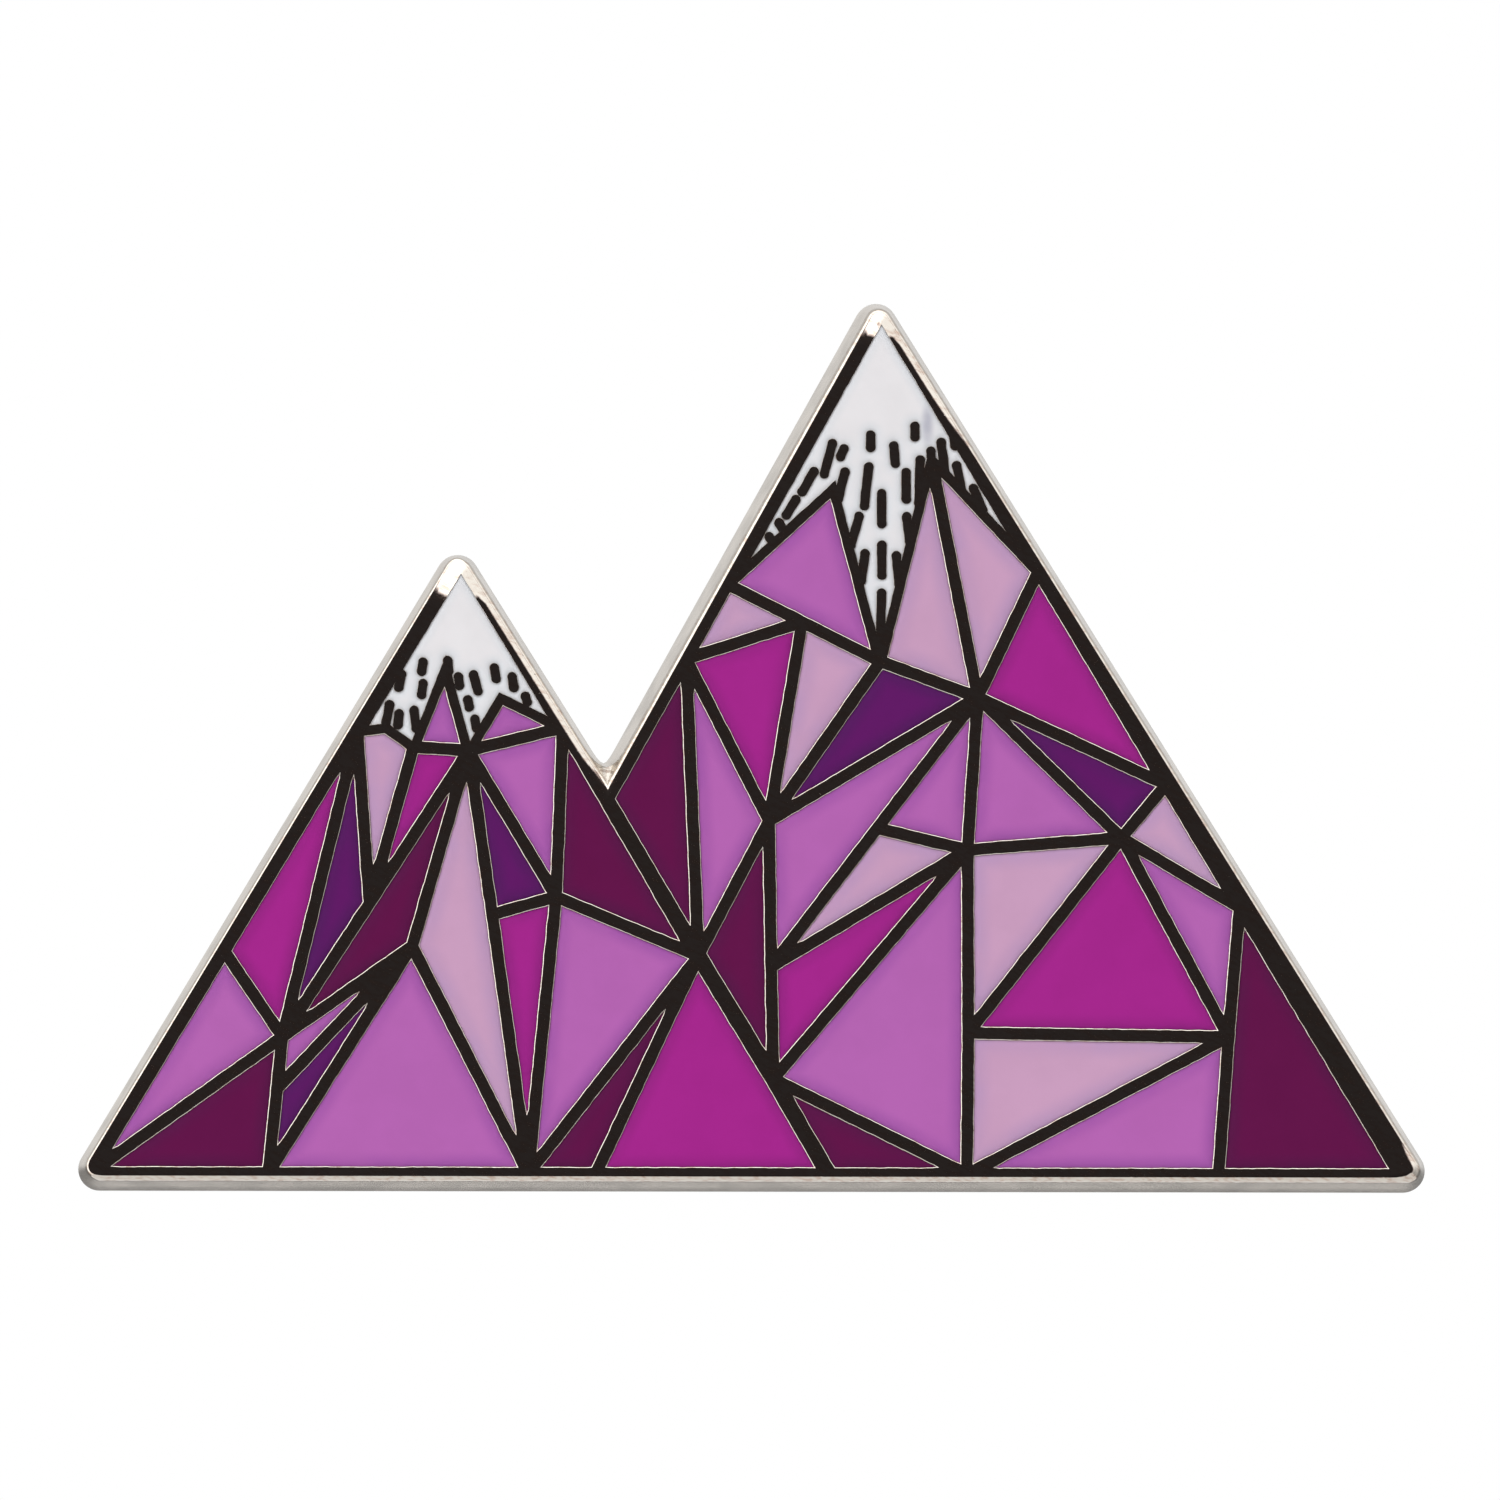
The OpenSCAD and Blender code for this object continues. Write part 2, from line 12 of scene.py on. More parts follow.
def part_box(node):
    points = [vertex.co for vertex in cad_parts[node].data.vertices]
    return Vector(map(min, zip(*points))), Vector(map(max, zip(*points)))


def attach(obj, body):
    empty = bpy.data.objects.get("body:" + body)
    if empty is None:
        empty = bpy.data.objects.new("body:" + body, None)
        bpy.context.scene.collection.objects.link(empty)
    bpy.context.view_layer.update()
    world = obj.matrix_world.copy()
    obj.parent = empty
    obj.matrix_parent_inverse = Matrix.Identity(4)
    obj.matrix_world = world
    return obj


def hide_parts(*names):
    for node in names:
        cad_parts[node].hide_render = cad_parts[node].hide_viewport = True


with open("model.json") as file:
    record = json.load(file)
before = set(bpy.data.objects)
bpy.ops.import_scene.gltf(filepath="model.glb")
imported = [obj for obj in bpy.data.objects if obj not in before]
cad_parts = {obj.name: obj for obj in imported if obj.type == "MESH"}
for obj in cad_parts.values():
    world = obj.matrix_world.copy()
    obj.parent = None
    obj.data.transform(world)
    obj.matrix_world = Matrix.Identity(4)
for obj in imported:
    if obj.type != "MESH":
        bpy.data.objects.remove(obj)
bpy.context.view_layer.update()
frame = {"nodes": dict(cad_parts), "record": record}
RECORD = frame["record"]
SLOT_OF = {part["node"]: part["material_slot"] for part in RECORD["subparts"]}

MM = 0.001  # all shapes are worked out in millimetres and placed in metres
FACE_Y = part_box("pin_base")[0].y / MM  # depth of the polished face

# ---- Sizes of the details, in millimetres ----
LINE_EDGE = 0.05  # rounding along the metal lines beside the enamel
DASH_EDGE = 0.006  # rounding along the thin dashes in the snow
HAND_WAVER = 0.014  # how far the edges of the lines stray from straight
WAVER_PITCH = 0.22  # length of one stray
WAVER_SEED = 5
SNOW_SPREAD = 0.014  # how far polishing has spread the metal over the snow
POCKET_DEPTH = 0.6  # recess floor below the polished face
POUR_DIP = 0.012  # enamel level below the metal, in the middle of a facet
MENISCUS_DROP = 0.02  # further drop of the enamel where it meets the metal
MENISCUS_REACH = 0.05  # how quickly the enamel recovers from that drop
EDGE_STEP = 0.13  # longest edge left in the outline of a line
RIM_STEP = 0.25  # longest edge left in the outline of the pin
CORNER_STEP = 0.1  # extra points this far from every corner
LEVEL_GAP, FACING = 0.002, 0.9  # how far from its depth a flat face may be, and the least cosine of its tilt
NEEDLE_CORNER = 0.15  # the sharper a corner, the longer its step: this and the next keep it short
LONGEST_STEP = 2.2
DASH_LIMIT = (0.7, 2.0)  # no dash in the snow is wider or taller
SNOW_SLACK = 0.1  # how far a dash may stick out of its snow cap
SNOW_TIP = 0.2  # the outline of a snow cap's recess comes this near to the tip of the cap

# ---- Shape of the base, in millimetres ----
# Section of the rim: distance in from the back edge, and height in front of the back face
RIM_BACK = [(0.05, 0.0), (0.015, 0.015), (0.0, 0.05)]
RIM_WALL = [(0.0, 0.3), (0.1, 0.74), (0.21, 1.24)]
RIM_ROUND = [(0.225, 1.31), (0.25, 1.38), (0.28, 1.435), (0.315, 1.475), (0.35, 1.494), (0.385, 1.5)]
LOW_LEFT_RIM, TALL_LEFT_RIM = 0.54, 0.9  # rounding of the rims on the left sides, the others having 1
RIM_TILT = 0.62  # tilt of the polished rim by the peaks and above the valley, as a sine
CORNER_TILT, CORNER_REACH = 0.6, (0.7, 1.3)  # tilt at the right corner, and where it fades
LEFT_TILT_REACH = (1.8, 1.5)  # how far down the left side of the low and the tall peak the tilt goes
RIGHT_TILT_REACH = (1.3, 6.0)  # the same down their right sides
TILT_FADE = 0.5  # share of that reach at which the tilt begins to fade
FLAT_BLEND, TILT_BLEND = 0.06, 0.18  # how far the rim takes to level out, and how much more if tilted
DOWNWARD = -0.6  # a side of the outline faces down when it leans further out below than this, as a sine
WIDE_PASSES, TILT_PASSES = 8, 3  # how often the rounding and the tilt are smoothed along the rim
PEAK_LEAN = 0.6  # tilt of all the metal at a peak, as a sine
PEAK_POLISH, LEAN_FADE = (1.7, 1.35), 0.6  # how far below each peak that goes, and the share where it fades
VALLEY_SPAN = (-12, 3)  # the valley lies between these places from left to right
VALLEY_ROUND, VALLEY_PASSES = 0.45, 4  # how far from the valley's corner its wall is smoothed, and how often
VALLEY_SHARP = 5  # points of the section, at its front end, that stay sharp in the valley
LINE_TURNS = (0, 30, 60)  # angles, in degrees, at which the rounded edge of a line has points
HOLE_SIDES = 48  # sides of the solder seats and the post holes
HOLE_MIDDLE = 0.01  # radius of the last ring at the bottom of a hole

# ---- Points on the enamel, in millimetres ----
ENAMEL_GRID, SNOW_GRID = 0.16, 0.11  # distance between two columns, on a facet and on the snow
ROW_PITCH = 0.87  # distance between two rows, in columns
EDGE_CLEAR = 0.09  # no point of the grid comes nearer to the metal
INNER_RING, INNER_CLEAR = 0.045, 0.04  # a ring of points along the metal, and how near it may come elsewhere
CREASE_ANGLE = 50  # degrees

# ---- Camera, light and floor, in metres ----
VIEW_CENTRE = (-0.00018, -0.0015, 0.00574)
AZIMUTH, ELEVATION, ROLL = -5.2, -3.8, -0.16  # degrees
CAMERA_DISTANCE, VIEW_WIDTH, SENSOR_WIDTH = 0.7, 0.0421, 36
FLOOR_REACH, FLOOR_LEVEL = 0.1, -0.07
# The room behind the camera is dark. It begins and ends at these cosines from ROOM_SIDE
ROOM_SIDE, ROOM_OUTER, ROOM_INNER = (0.05, -1, 0.04), 0.6, 0.84
ROOM_LIGHT, ROOM_TINT = 0.018, (1, 0.84, 0.86)
KEY_SIDE = (-0.55, -0.2, 0.8)  # where the soft light is brightest
SIDE_LIGHT = (0.58, 2.9)  # strength away from the key side and towards it
BACK_LIGHT = (0.3, 0.86)  # strength behind the pin, from below and from above


noise.seed_set(WAVER_SEED)  # without it the strays differ from run to run


# ---- Outlines ----
def welded(node):
    """The faces of a CAD node joined into one mesh."""
    joined = bmesh.new()
    joined.from_mesh(frame["nodes"][node].data)
    bmesh.ops.remove_doubles(joined, verts=joined.verts, dist=2e-7)
    return joined


def outlines(node, depth, facing):
    """Closed outlines, as x and z in millimetres, round a node's flat faces at one depth."""
    joined = welded(node)
    flat = {}  # kept in order, so that every run starts each outline at the same corner
    for face in joined.faces:
        level = all(abs(v.co.y / MM - depth) < LEVEL_GAP for v in face.verts)
        if level and face.calc_area() > 0 and face.normal.y * facing > FACING:
            flat[face] = True
    following = {}
    for face in flat:
        for corner in face.loops:
            if not any(other in flat for other in corner.edge.link_faces if other != face):
                following[corner.vert] = corner.link_loop_next.vert
    found = []
    while following:
        first, vert = following.popitem()
        loop = [first]
        while vert != first:
            loop.append(vert)
            vert = following.pop(vert)
        found.append(np.array([(v.co.x / MM, v.co.z / MM) for v in loop]))
    joined.free()
    return sorted(found, key=lambda loop: -np.ptp(loop[:, 0]))


def subdivided(loop, longest=EDGE_STEP):
    """An outline with extra points beside its corners and along its longer sides."""
    points = []
    for start, end in zip(loop, np.roll(loop, -1, axis=0)):
        length = np.linalg.norm(end - start)
        points.append(start)
        if length > 3 * CORNER_STEP:
            count = max(1, math.ceil((length - 2 * CORNER_STEP) / longest))
            near = CORNER_STEP / length
            for share in np.linspace(near, 1 - near, count + 1):
                points.append(start + (end - start) * share)
    return np.array(points)


def wavered(loop):
    """An outline whose edge strays a little, by its place alone, so that metal and enamel stray alike."""
    moved = []
    for x, z in loop:
        place = Vector((x / WAVER_PITCH, z / WAVER_PITCH, 0.0))
        aside = noise.noise_vector(place)
        moved.append((x + aside.x * HAND_WAVER, z + aside.y * HAND_WAVER))
    return np.array(moved)


def left_directions(loop):
    """The step to the left, at each point of an outline, that moves both of its sides by one."""
    ahead = np.roll(loop, -1, axis=0) - loop
    ahead /= np.linalg.norm(ahead, axis=1, keepdims=True)
    side = np.stack([-ahead[:, 1], ahead[:, 0]], axis=1)
    behind = np.roll(side, 1, axis=0)
    step = (side + behind) / np.maximum(1 + (side * behind).sum(axis=1, keepdims=True), NEEDLE_CORNER)
    size = np.linalg.norm(step, axis=1, keepdims=True)
    return step * np.minimum(1, LONGEST_STEP / size)


def inside(points, loops):
    """Which points lie inside an odd number of the outlines."""
    odd = np.zeros(len(points), bool)
    for loop in loops:
        ends = np.roll(loop, -1, axis=0)
        for (ax, az), (bx, bz) in zip(loop, ends):
            crosses = (points[:, 1] < az) != (points[:, 1] < bz)
            with np.errstate(divide="ignore", invalid="ignore"):
                at_x = ax + (points[:, 1] - az) * (bx - ax) / (bz - az)
            odd ^= crosses & (points[:, 0] < at_x)
    return odd


def distance_to(points, loops):
    """Distance from each point to the nearest side of the outlines."""
    nearest = np.full(len(points), 1e9)
    for loop in loops:
        ends = np.roll(loop, -1, axis=0)
        for start, end in zip(loop, ends):
            run = end - start
            share = np.clip((points - start) @ run / max(run @ run, 1e-12), 0, 1)
            nearest = np.minimum(nearest, np.linalg.norm(points - start - share[:, None] * run, axis=1))
    return nearest


# ---- Meshes made of rings and flat fillings ----
class Shell:
    """Points, faces, normals and face materials of a piece in the making."""

    def __init__(self):
        self.points, self.normals, self.faces, self.finishes = [], [], [], []

    def ring(self, loop, y, outward, rise):
        """Adds a ring of points. Its normals lean from outward, in the plane, to the front by rise."""
        rises = np.broadcast_to(rise, len(loop))
        start = len(self.points)
        for (x, z), (nx, nz), up in zip(loop, outward, rises):
            lean = math.sqrt(max(0, 1 - up * up)) / max(math.hypot(nx, nz), 1e-9)
            self.points.append((x, y, z))
            self.normals.append((nx * lean, -up, nz * lean))
        return list(range(start, len(self.points)))

    def band(self, first, second, finish=0):
        """Joins two rings of the same length."""
        for i in range(len(first)):
            j = (i + 1) % len(first)
            self.faces.append((first[i], first[j], second[j], second[i]))
            self.finishes.append(finish)

    def filling(self, rings, keep, flip=False, finish=0, extra=()):
        """Fills the flat region between rings. keep says which triangle middles belong to it."""
        ids = [i for ring in rings for i in ring]
        flat = [Vector((self.points[i][0], self.points[i][2])) for i in ids]
        flat += [Vector((self.points[i][0], self.points[i][2])) for i in extra]
        ids += list(extra)
        sides, start = [], 0
        for ring in rings:
            count = len(ring)
            sides += [(start + i, start + (i + 1) % count) for i in range(count)]
            start += count
        made, _, triangles, origins, _, _ = geometry.delaunay_2d_cdt(flat, sides, [], 1, 1e-6)
        level = self.points[ids[0]][1]
        index = []
        for point, origin in zip(made, origins):
            if origin:
                index.append(ids[origin[0]])
            else:
                index.append(len(self.points))
                self.points.append((point.x, level, point.y))
                self.normals.append((0, 1 if flip else -1, 0))
        corners = np.array([[tuple(made[i]) for i in t] for t in triangles])
        wanted = keep(corners.mean(axis=1))
        for triangle, good in zip(triangles, wanted):
            if good:
                a, b, c = (index[i] for i in triangle)
                self.faces.append((a, c, b) if flip else (a, b, c))
                self.finishes.append(finish)

    def piece(self, name, materials, smooth_normals=True):
        """The finished object."""
        mesh = bpy.data.meshes.new(name)
        mesh.from_pydata([tuple(c * MM for c in p) for p in self.points], [], self.faces)
        for material in materials:
            mesh.materials.append(material)
        mesh.polygons.foreach_set("material_index", self.finishes)
        mesh.polygons.foreach_set("use_smooth", [True] * len(self.faces))
        mesh.update()
        if smooth_normals:
            mesh.normals_split_custom_set_from_vertices(self.normals)
        made = bpy.data.objects.new(name, mesh)
        bpy.context.scene.collection.objects.link(made)
        return made


# ---- Node helpers ----
# A Mix node's two inputs and its output, by data type
MIX_SOCKETS = {"FLOAT": (2, 3, 0), "RGBA": (6, 7, 2)}


def new_material(name):
    """A new material, its tree and its shader."""
    material = bpy.data.materials.new(name)
    material.use_nodes = True
    return material, material.node_tree, material.node_tree.nodes["Principled BSDF"]


def node(tree, kind, **settings):
    """A new node with its settings."""
    made = tree.nodes.new(kind)
    for key, value in settings.items():
        setattr(made, key, value)
    return made


def feed(tree, socket, value):
    """Links a socket to another, or sets it to a plain value."""
    if isinstance(value, bpy.types.NodeSocket):
        tree.links.new(value, socket)
    else:
        socket.default_value = value


def linear(rgb):
    """A display colour, 0 to 255, as linear light."""
    shares = [c / 255 for c in rgb]
    return tuple(c / 12.92 if c <= 0.04045 else ((c + 0.055) / 1.055) ** 2.4 for c in shares) + (1,)


def darker(colour, share):
    """A linear colour with that share of its light."""
    return tuple(share * c for c in colour[:3]) + (1,)


def maths(tree, operation, first, second):
    """The result of a Math node on two numbers or sockets."""
    made = node(tree, "ShaderNodeMath", operation=operation)
    feed(tree, made.inputs[0], first)
    feed(tree, made.inputs[1], second)
    return made.outputs["Value"]


def mixed(tree, share, first, second, kind="RGBA"):
    """A value between two, each a plain value or a socket."""
    made = node(tree, "ShaderNodeMix", data_type=kind)
    first_input, second_input, output = MIX_SOCKETS[kind]
    feed(tree, made.inputs[0], share)
    feed(tree, made.inputs[first_input], first)
    feed(tree, made.inputs[second_input], second)
    return made.outputs[output]


def map_range(tree, source, low, high, to_low=0.0, to_high=1.0):
    """A smooth step from to_low to to_high, as the source goes from low to high."""
    made = node(tree, "ShaderNodeMapRange", interpolation_type="SMOOTHSTEP")
    for label, value in {
        "Value": source, "From Min": low, "From Max": high, "To Min": to_low, "To Max": to_high,
    }.items():
        feed(tree, made.inputs[label], value)
    return made.outputs["Result"]


def texture(tree, kind, scale, stretch=(1, 1, 1), turn=0.0, **inputs):
    """A texture on object coordinates, in repeats per metre, drawn out along an axis and turned about Y."""
    place = node(tree, "ShaderNodeTexCoord")
    mapping = node(tree, "ShaderNodeMapping", vector_type="TEXTURE")
    mapping.inputs["Rotation"].default_value = (0, math.radians(turn), 0)
    mapping.inputs["Scale"].default_value = stretch
    made = node(tree, kind)
    made.inputs["Scale"].default_value = scale
    for label, value in inputs.items():
        made.inputs[label].default_value = value
    tree.links.new(place.outputs["Object"], mapping.inputs["Vector"])
    tree.links.new(mapping.outputs["Vector"], made.inputs["Vector"])
    return made


# ---- Shader group ----
SCRATCH_HEIGHT = 0.35  # height of a scratch beside that of the ripple, which is 1
PIT_START = 0.9  # cells of the pattern with a higher draw than this hold a pit


def new_group(name, inputs, outputs):
    """A shader node group with named numbers going in and out."""
    group = bpy.data.node_groups.new(name, "ShaderNodeTree")
    for label, value in inputs.items():
        socket = group.interface.new_socket(name=label, in_out="INPUT", socket_type="NodeSocketFloat")
        socket.default_value = value
    for label in outputs:
        group.interface.new_socket(name=label, in_out="OUTPUT", socket_type="NodeSocketFloat")
    return group, group.nodes.new("NodeGroupInput").outputs, group.nodes.new("NodeGroupOutput").inputs


def surface_wear():
    """What polishing leaves: small pits, slow clouds and streaks, and a height with scratches in it."""
    inputs = {"Scratch Height": SCRATCH_HEIGHT, "Pit Start": PIT_START}
    group, given, out = new_group("surface_wear", inputs, ("Pits", "Clouds", "Streaks", "Height"))
    along = texture(group, "ShaderNodeTexNoise", 16000, (40, 1, 1), 12, Detail=1)
    across = texture(group, "ShaderNodeTexNoise", 13000, (1, 1, 36), -18, Detail=1)
    first, second = (
        map_range(group, lines.outputs["Fac"], 0.68, 0.8, 0.0, given["Scratch Height"])
        for lines in (along, across)
    )
    scratches = maths(group, "MAXIMUM", first, second)

    cells = texture(group, "ShaderNodeTexVoronoi", 9000, Randomness=1)
    near = map_range(group, cells.outputs["Distance"], 0.1, 0.28, 1, 0)
    chosen = node(group, "ShaderNodeSeparateColor")
    group.links.new(cells.outputs["Color"], chosen.inputs["Color"])
    few = map_range(group, chosen.outputs["Red"], given["Pit Start"], 1.0)
    pits = maths(group, "MULTIPLY", near, few)

    clouds = texture(group, "ShaderNodeTexNoise", 900, Detail=3)
    streaks = texture(group, "ShaderNodeTexNoise", 11000, (3, 1, 1), 24, Detail=3)
    ripple = texture(group, "ShaderNodeTexNoise", 8500, Detail=2)
    height = maths(group, "ADD", maths(group, "ADD", scratches, pits), ripple.outputs["Fac"])
    group.links.new(pits, out["Pits"])
    group.links.new(map_range(group, clouds.outputs["Fac"], 0.35, 0.7), out["Clouds"])
    group.links.new(map_range(group, streaks.outputs["Fac"], 0.4, 0.75), out["Streaks"])
    group.links.new(height, out["Height"])
    return group


def bumped(tree, shader, height, depth):
    """A bump that many metres deep."""
    bump = node(tree, "ShaderNodeBump")
    bump.inputs["Distance"].default_value = depth
    tree.links.new(height, bump.inputs["Height"])
    tree.links.new(bump.outputs["Normal"], shader.inputs["Normal"])


WEAR = surface_wear()


def worn(tree, scratch_height=SCRATCH_HEIGHT, pit_start=PIT_START):
    """The wear group's outputs in a material, with its height of scratches and its share of pits."""
    made = node(tree, "ShaderNodeGroup", node_tree=WEAR)
    made.inputs["Scratch Height"].default_value = scratch_height
    made.inputs["Pit Start"].default_value = pit_start
    return made.outputs


# ---- Materials ----
# Colour in the middle of a facet, the darker colour close to the metal that is painted shade, and the
# distance in millimetres between the two
ENAMELS = {
    "enamel_snow": ((231, 230, 232), (219, 223, 227), 0.35),
    "enamel_pale_pink": ((201, 158, 191), (184, 149, 187), 0.6),
    "enamel_orchid": ((180, 101, 178), (160, 88, 166), 0.5),
    "enamel_magenta": ((164, 40, 141), (146, 38, 128), 0.45),
    "enamel_plum": ((98, 22, 74), (88, 26, 72), 0.5),
    "enamel_violet": ((97, 27, 102), (84, 30, 94), 0.5),
}
SMUDGE_PLACE, SMUDGE_SIZE = (0.00486, 0, 0.0149), (0.00026, 0.01, 0.0008)  # metres
SMUDGE_COLOUR = (172, 174, 188)
PAINTED_EDGE_SHADE = (0.02, 0.09, 0.4, 0.0)  # beside the metal, a painted shade of 0.4 up to 0.02 mm that is gone at 0.09 mm
PAINTED_SHADE_LIGHT, CLOUD_LIGHT = 0.8, 0.93  # light left in that painted shade, and in a cloud of the enamel
CLOUD_SHARE = 0.5  # how much of a cloud shows
GRAIN_LIGHT = 0.8  # light left in a cloud of the blasted metal


def smudge(tree):
    """Mask for a faint smear on the snow of the tall peak."""
    place = node(tree, "ShaderNodeTexCoord").outputs["Object"]
    mapping = node(tree, "ShaderNodeMapping", vector_type="TEXTURE")
    mapping.inputs["Location"].default_value = SMUDGE_PLACE
    mapping.inputs["Scale"].default_value = SMUDGE_SIZE
    away = node(tree, "ShaderNodeVectorMath", operation="LENGTH")
    tree.links.new(place, mapping.inputs["Vector"])
    tree.links.new(mapping.outputs["Vector"], away.inputs[0])
    return map_range(tree, away.outputs["Value"], 0.1, 1.0, 1.0, 0.0)


def enamel_material(slot):
    """Enamel of one colour, a little darker close to the metal as painted shade, under a polish with a few
    pits.
    """
    middle, edge, reach = ENAMELS[slot]
    material, tree, shader = new_material(slot)
    distance = node(tree, "ShaderNodeAttribute", attribute_name="from_metal").outputs["Fac"]
    wear = worn(tree)
    # Painted shade: the colour darkens from the middle of the facet towards the metal
    colour = mixed(tree, map_range(tree, distance, 0.0, reach), linear(edge), linear(middle))
    if slot == "enamel_snow":
        colour = mixed(tree, smudge(tree), colour, linear(SMUDGE_COLOUR))
    # Painted shade: a thin dark band in the enamel along the metal
    painted_shade = map_range(tree, distance, *PAINTED_EDGE_SHADE)
    colour = mixed(tree, painted_shade, colour, darker(linear(edge), PAINTED_SHADE_LIGHT))
    cloudy = maths(tree, "MULTIPLY", wear["Clouds"], CLOUD_SHARE)
    colour = mixed(tree, cloudy, colour, darker(linear(middle), CLOUD_LIGHT))
    tree.links.new(colour, shader.inputs["Base Color"])
    shader.inputs["Roughness"].default_value = 0.16
    shader.inputs["Specular IOR Level"].default_value = 0.25
    bumped(tree, shader, wear["Pits"], 2e-6)
    return material


def plating_material(name, colour, tarnish, roughness, streak_roughness, depth):
    """Plated metal: a base colour, and streaks of tarnish that are a little rougher."""
    material, tree, shader = new_material(name)
    wear = worn(tree)
    tone = mixed(tree, wear["Streaks"], linear(colour), linear(tarnish))
    tree.links.new(tone, shader.inputs["Base Color"])
    shader.inputs["Metallic"].default_value = 1
    rough = map_range(tree, wear["Streaks"], 0.0, 1.0, roughness, streak_roughness)
    tree.links.new(rough, shader.inputs["Roughness"])
    bumped(tree, shader, wear["Height"], depth)
    return material


def blasted_material(name, colour, roughness, grain, depth):
    """Plated metal with the fine even grain of sandblasting."""
    material, tree, shader = new_material(name)
    grains = texture(tree, "ShaderNodeTexNoise", grain, Detail=2)
    wear = worn(tree)
    tone = mixed(tree, wear["Clouds"], linear(colour), darker(linear(colour), GRAIN_LIGHT))
    tree.links.new(tone, shader.inputs["Base Color"])
    shader.inputs["Metallic"].default_value = 1
    shader.inputs["Roughness"].default_value = roughness
    bumped(tree, shader, grains.outputs["Fac"], depth)
    return material


# ---- The metal base ----
POLISHED, BLASTED, SATIN = range(3)  # its materials, by slot


def smoothed(values, passes):
    """Values round a closed loop, each pass averaging every one with its neighbours."""
    for _ in range(passes):
        values = (np.roll(values, 1, axis=0) + values + np.roll(values, -1, axis=0)) / 3
    return values


def step_down(value, start, end):
    """1 up to start, 0 from end on, with a smooth step between."""
    share = np.clip((value - start) / (end - start), 0, 1)
    return 1 - share * share * (3 - 2 * share)


def valley_of(edge):
    """The sharp corner between the two mountains."""
    x, z = edge[:, 0], edge[:, 1]
    inner = (x > VALLEY_SPAN[0]) & (x < VALLEY_SPAN[1]) & (z > 0)
    return edge[inner][np.argmin(edge[inner][:, 1])]


def is_snow(loop):
    """True for the outline of a snow recess or of a dash in it, where polishing has spread the metal."""
    low, high = loop.min(axis=0), loop.max(axis=0)
    middle = (low + high) / 2
    for name in ("left_snow_cap", "right_snow_cap"):
        snow_low, snow_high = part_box(name)
        foot, tip = snow_low.z / MM, snow_high.z / MM
        across = snow_low.x / MM < middle[0] < snow_high.x / MM
        if across and foot - SNOW_SLACK < low[1] and high[1] < tip + SNOW_SLACK:
            if (high - low < DASH_LIMIT).all() or high[1] > tip - SNOW_TIP:
                return True
    return False


def spread(loop, side):
    """An outline moved by the spread of the metal: to its left for side 1, to its right for side -1."""
    return loop + left_directions(loop) * SNOW_SPREAD * side


def recess_line(loop):
    """The outline of a recess or of a dash as polishing leaves it."""
    return spread(wavered(subdivided(loop)), -1 if is_snow(loop) else 0)


def rim_section(edge, outward, valley, peaks):
    """The share of the rim's full section at each point of the outline, and the tilt of its flat."""
    x = edge[:, 0]
    facing_left, facing_down = outward[:, 0] < 0, outward[:, 1] < DOWNWARD
    low_side = x < valley[0]
    wide = np.where(facing_left & ~facing_down, np.where(low_side, LOW_LEFT_RIM, TALL_LEFT_RIM), 1.0)
    tilt = np.where(low_side & ~facing_left & ~facing_down, RIM_TILT, 0.0)
    for peak, left_reach, right_reach in zip(peaks, LEFT_TILT_REACH, RIGHT_TILT_REACH):
        away = np.linalg.norm(edge - peak, axis=1)
        reach = np.where(facing_left, left_reach, right_reach)
        tilt = np.maximum(tilt, RIM_TILT * step_down(away / reach, TILT_FADE, 1.0))
    corner = np.linalg.norm(edge - edge[np.argmax(x)], axis=1)
    tilt = np.maximum(tilt, CORNER_TILT * step_down(corner, *CORNER_REACH))
    return smoothed(wide, WIDE_PASSES), smoothed(tilt, TILT_PASSES)


def peak_lean(loop, edge, outward, peaks):
    """The way out of the pin from each point of an outline, and how level the metal is there."""
    nearest = np.linalg.norm(loop[:, None] - edge[None], axis=2).argmin(axis=1)
    lean = np.zeros(len(loop))
    for peak, reach in zip(peaks, PEAK_POLISH):
        away = np.linalg.norm(loop - peak, axis=1)
        lean = np.maximum(lean, PEAK_LEAN * step_down(away / reach, LEAN_FADE, 1.0))
    return outward[nearest], np.sqrt(1 - lean * lean)


def plain_loop(shell, ring):
    """The points of a ring as x and z."""
    return np.array([(shell.points[i][0], shell.points[i][2]) for i in ring])


def rim_rings(shell, edge, valley, peaks):
    """The rim of the base, from the back edge to the polished face. Returns its first and last ring."""
    in_valley = (np.linalg.norm(edge - valley, axis=1) < VALLEY_ROUND)[:, None]
    inward = left_directions(edge)
    wide, tilt = rim_section(edge, -inward, valley, peaks)
    section = RIM_BACK + RIM_WALL + RIM_ROUND
    rings = []
    for i, (step, height) in enumerate(section):
        before, after = section[max(i - 1, 0)], section[min(i + 1, len(section) - 1)]
        across, up = after[0] - before[0], after[1] - before[1]
        rise = across / math.hypot(across, up)
        if i == len(section) - 1:
            rise = np.cos(np.arcsin(tilt))
        elif i == 0:
            rise = -1
        elif i < len(RIM_BACK):
            rise = min(0, rise)
        line = edge + inward * step * wide[:, None]
        # The cutter leaves the wall rounded in the valley, while the face comes to a point
        if i < len(section) - VALLEY_SHARP:
            line = np.where(in_valley, smoothed(line, VALLEY_PASSES), line)
        rings.append(shell.ring(line, -height, -inward, rise))
    level = section[-1][0] * wide + FLAT_BLEND + TILT_BLEND * tilt
    line = edge + inward * level[:, None]
    rings.append(shell.ring(line, FACE_Y, *peak_lean(line, edge, -inward, peaks)))
    wall_end = len(RIM_BACK) + len(RIM_WALL) - 1
    for i, (first, second) in enumerate(zip(rings, rings[1:])):
        shell.band(first, second, SATIN if i < wall_end else POLISHED)
    return rings[0], rings[-1]


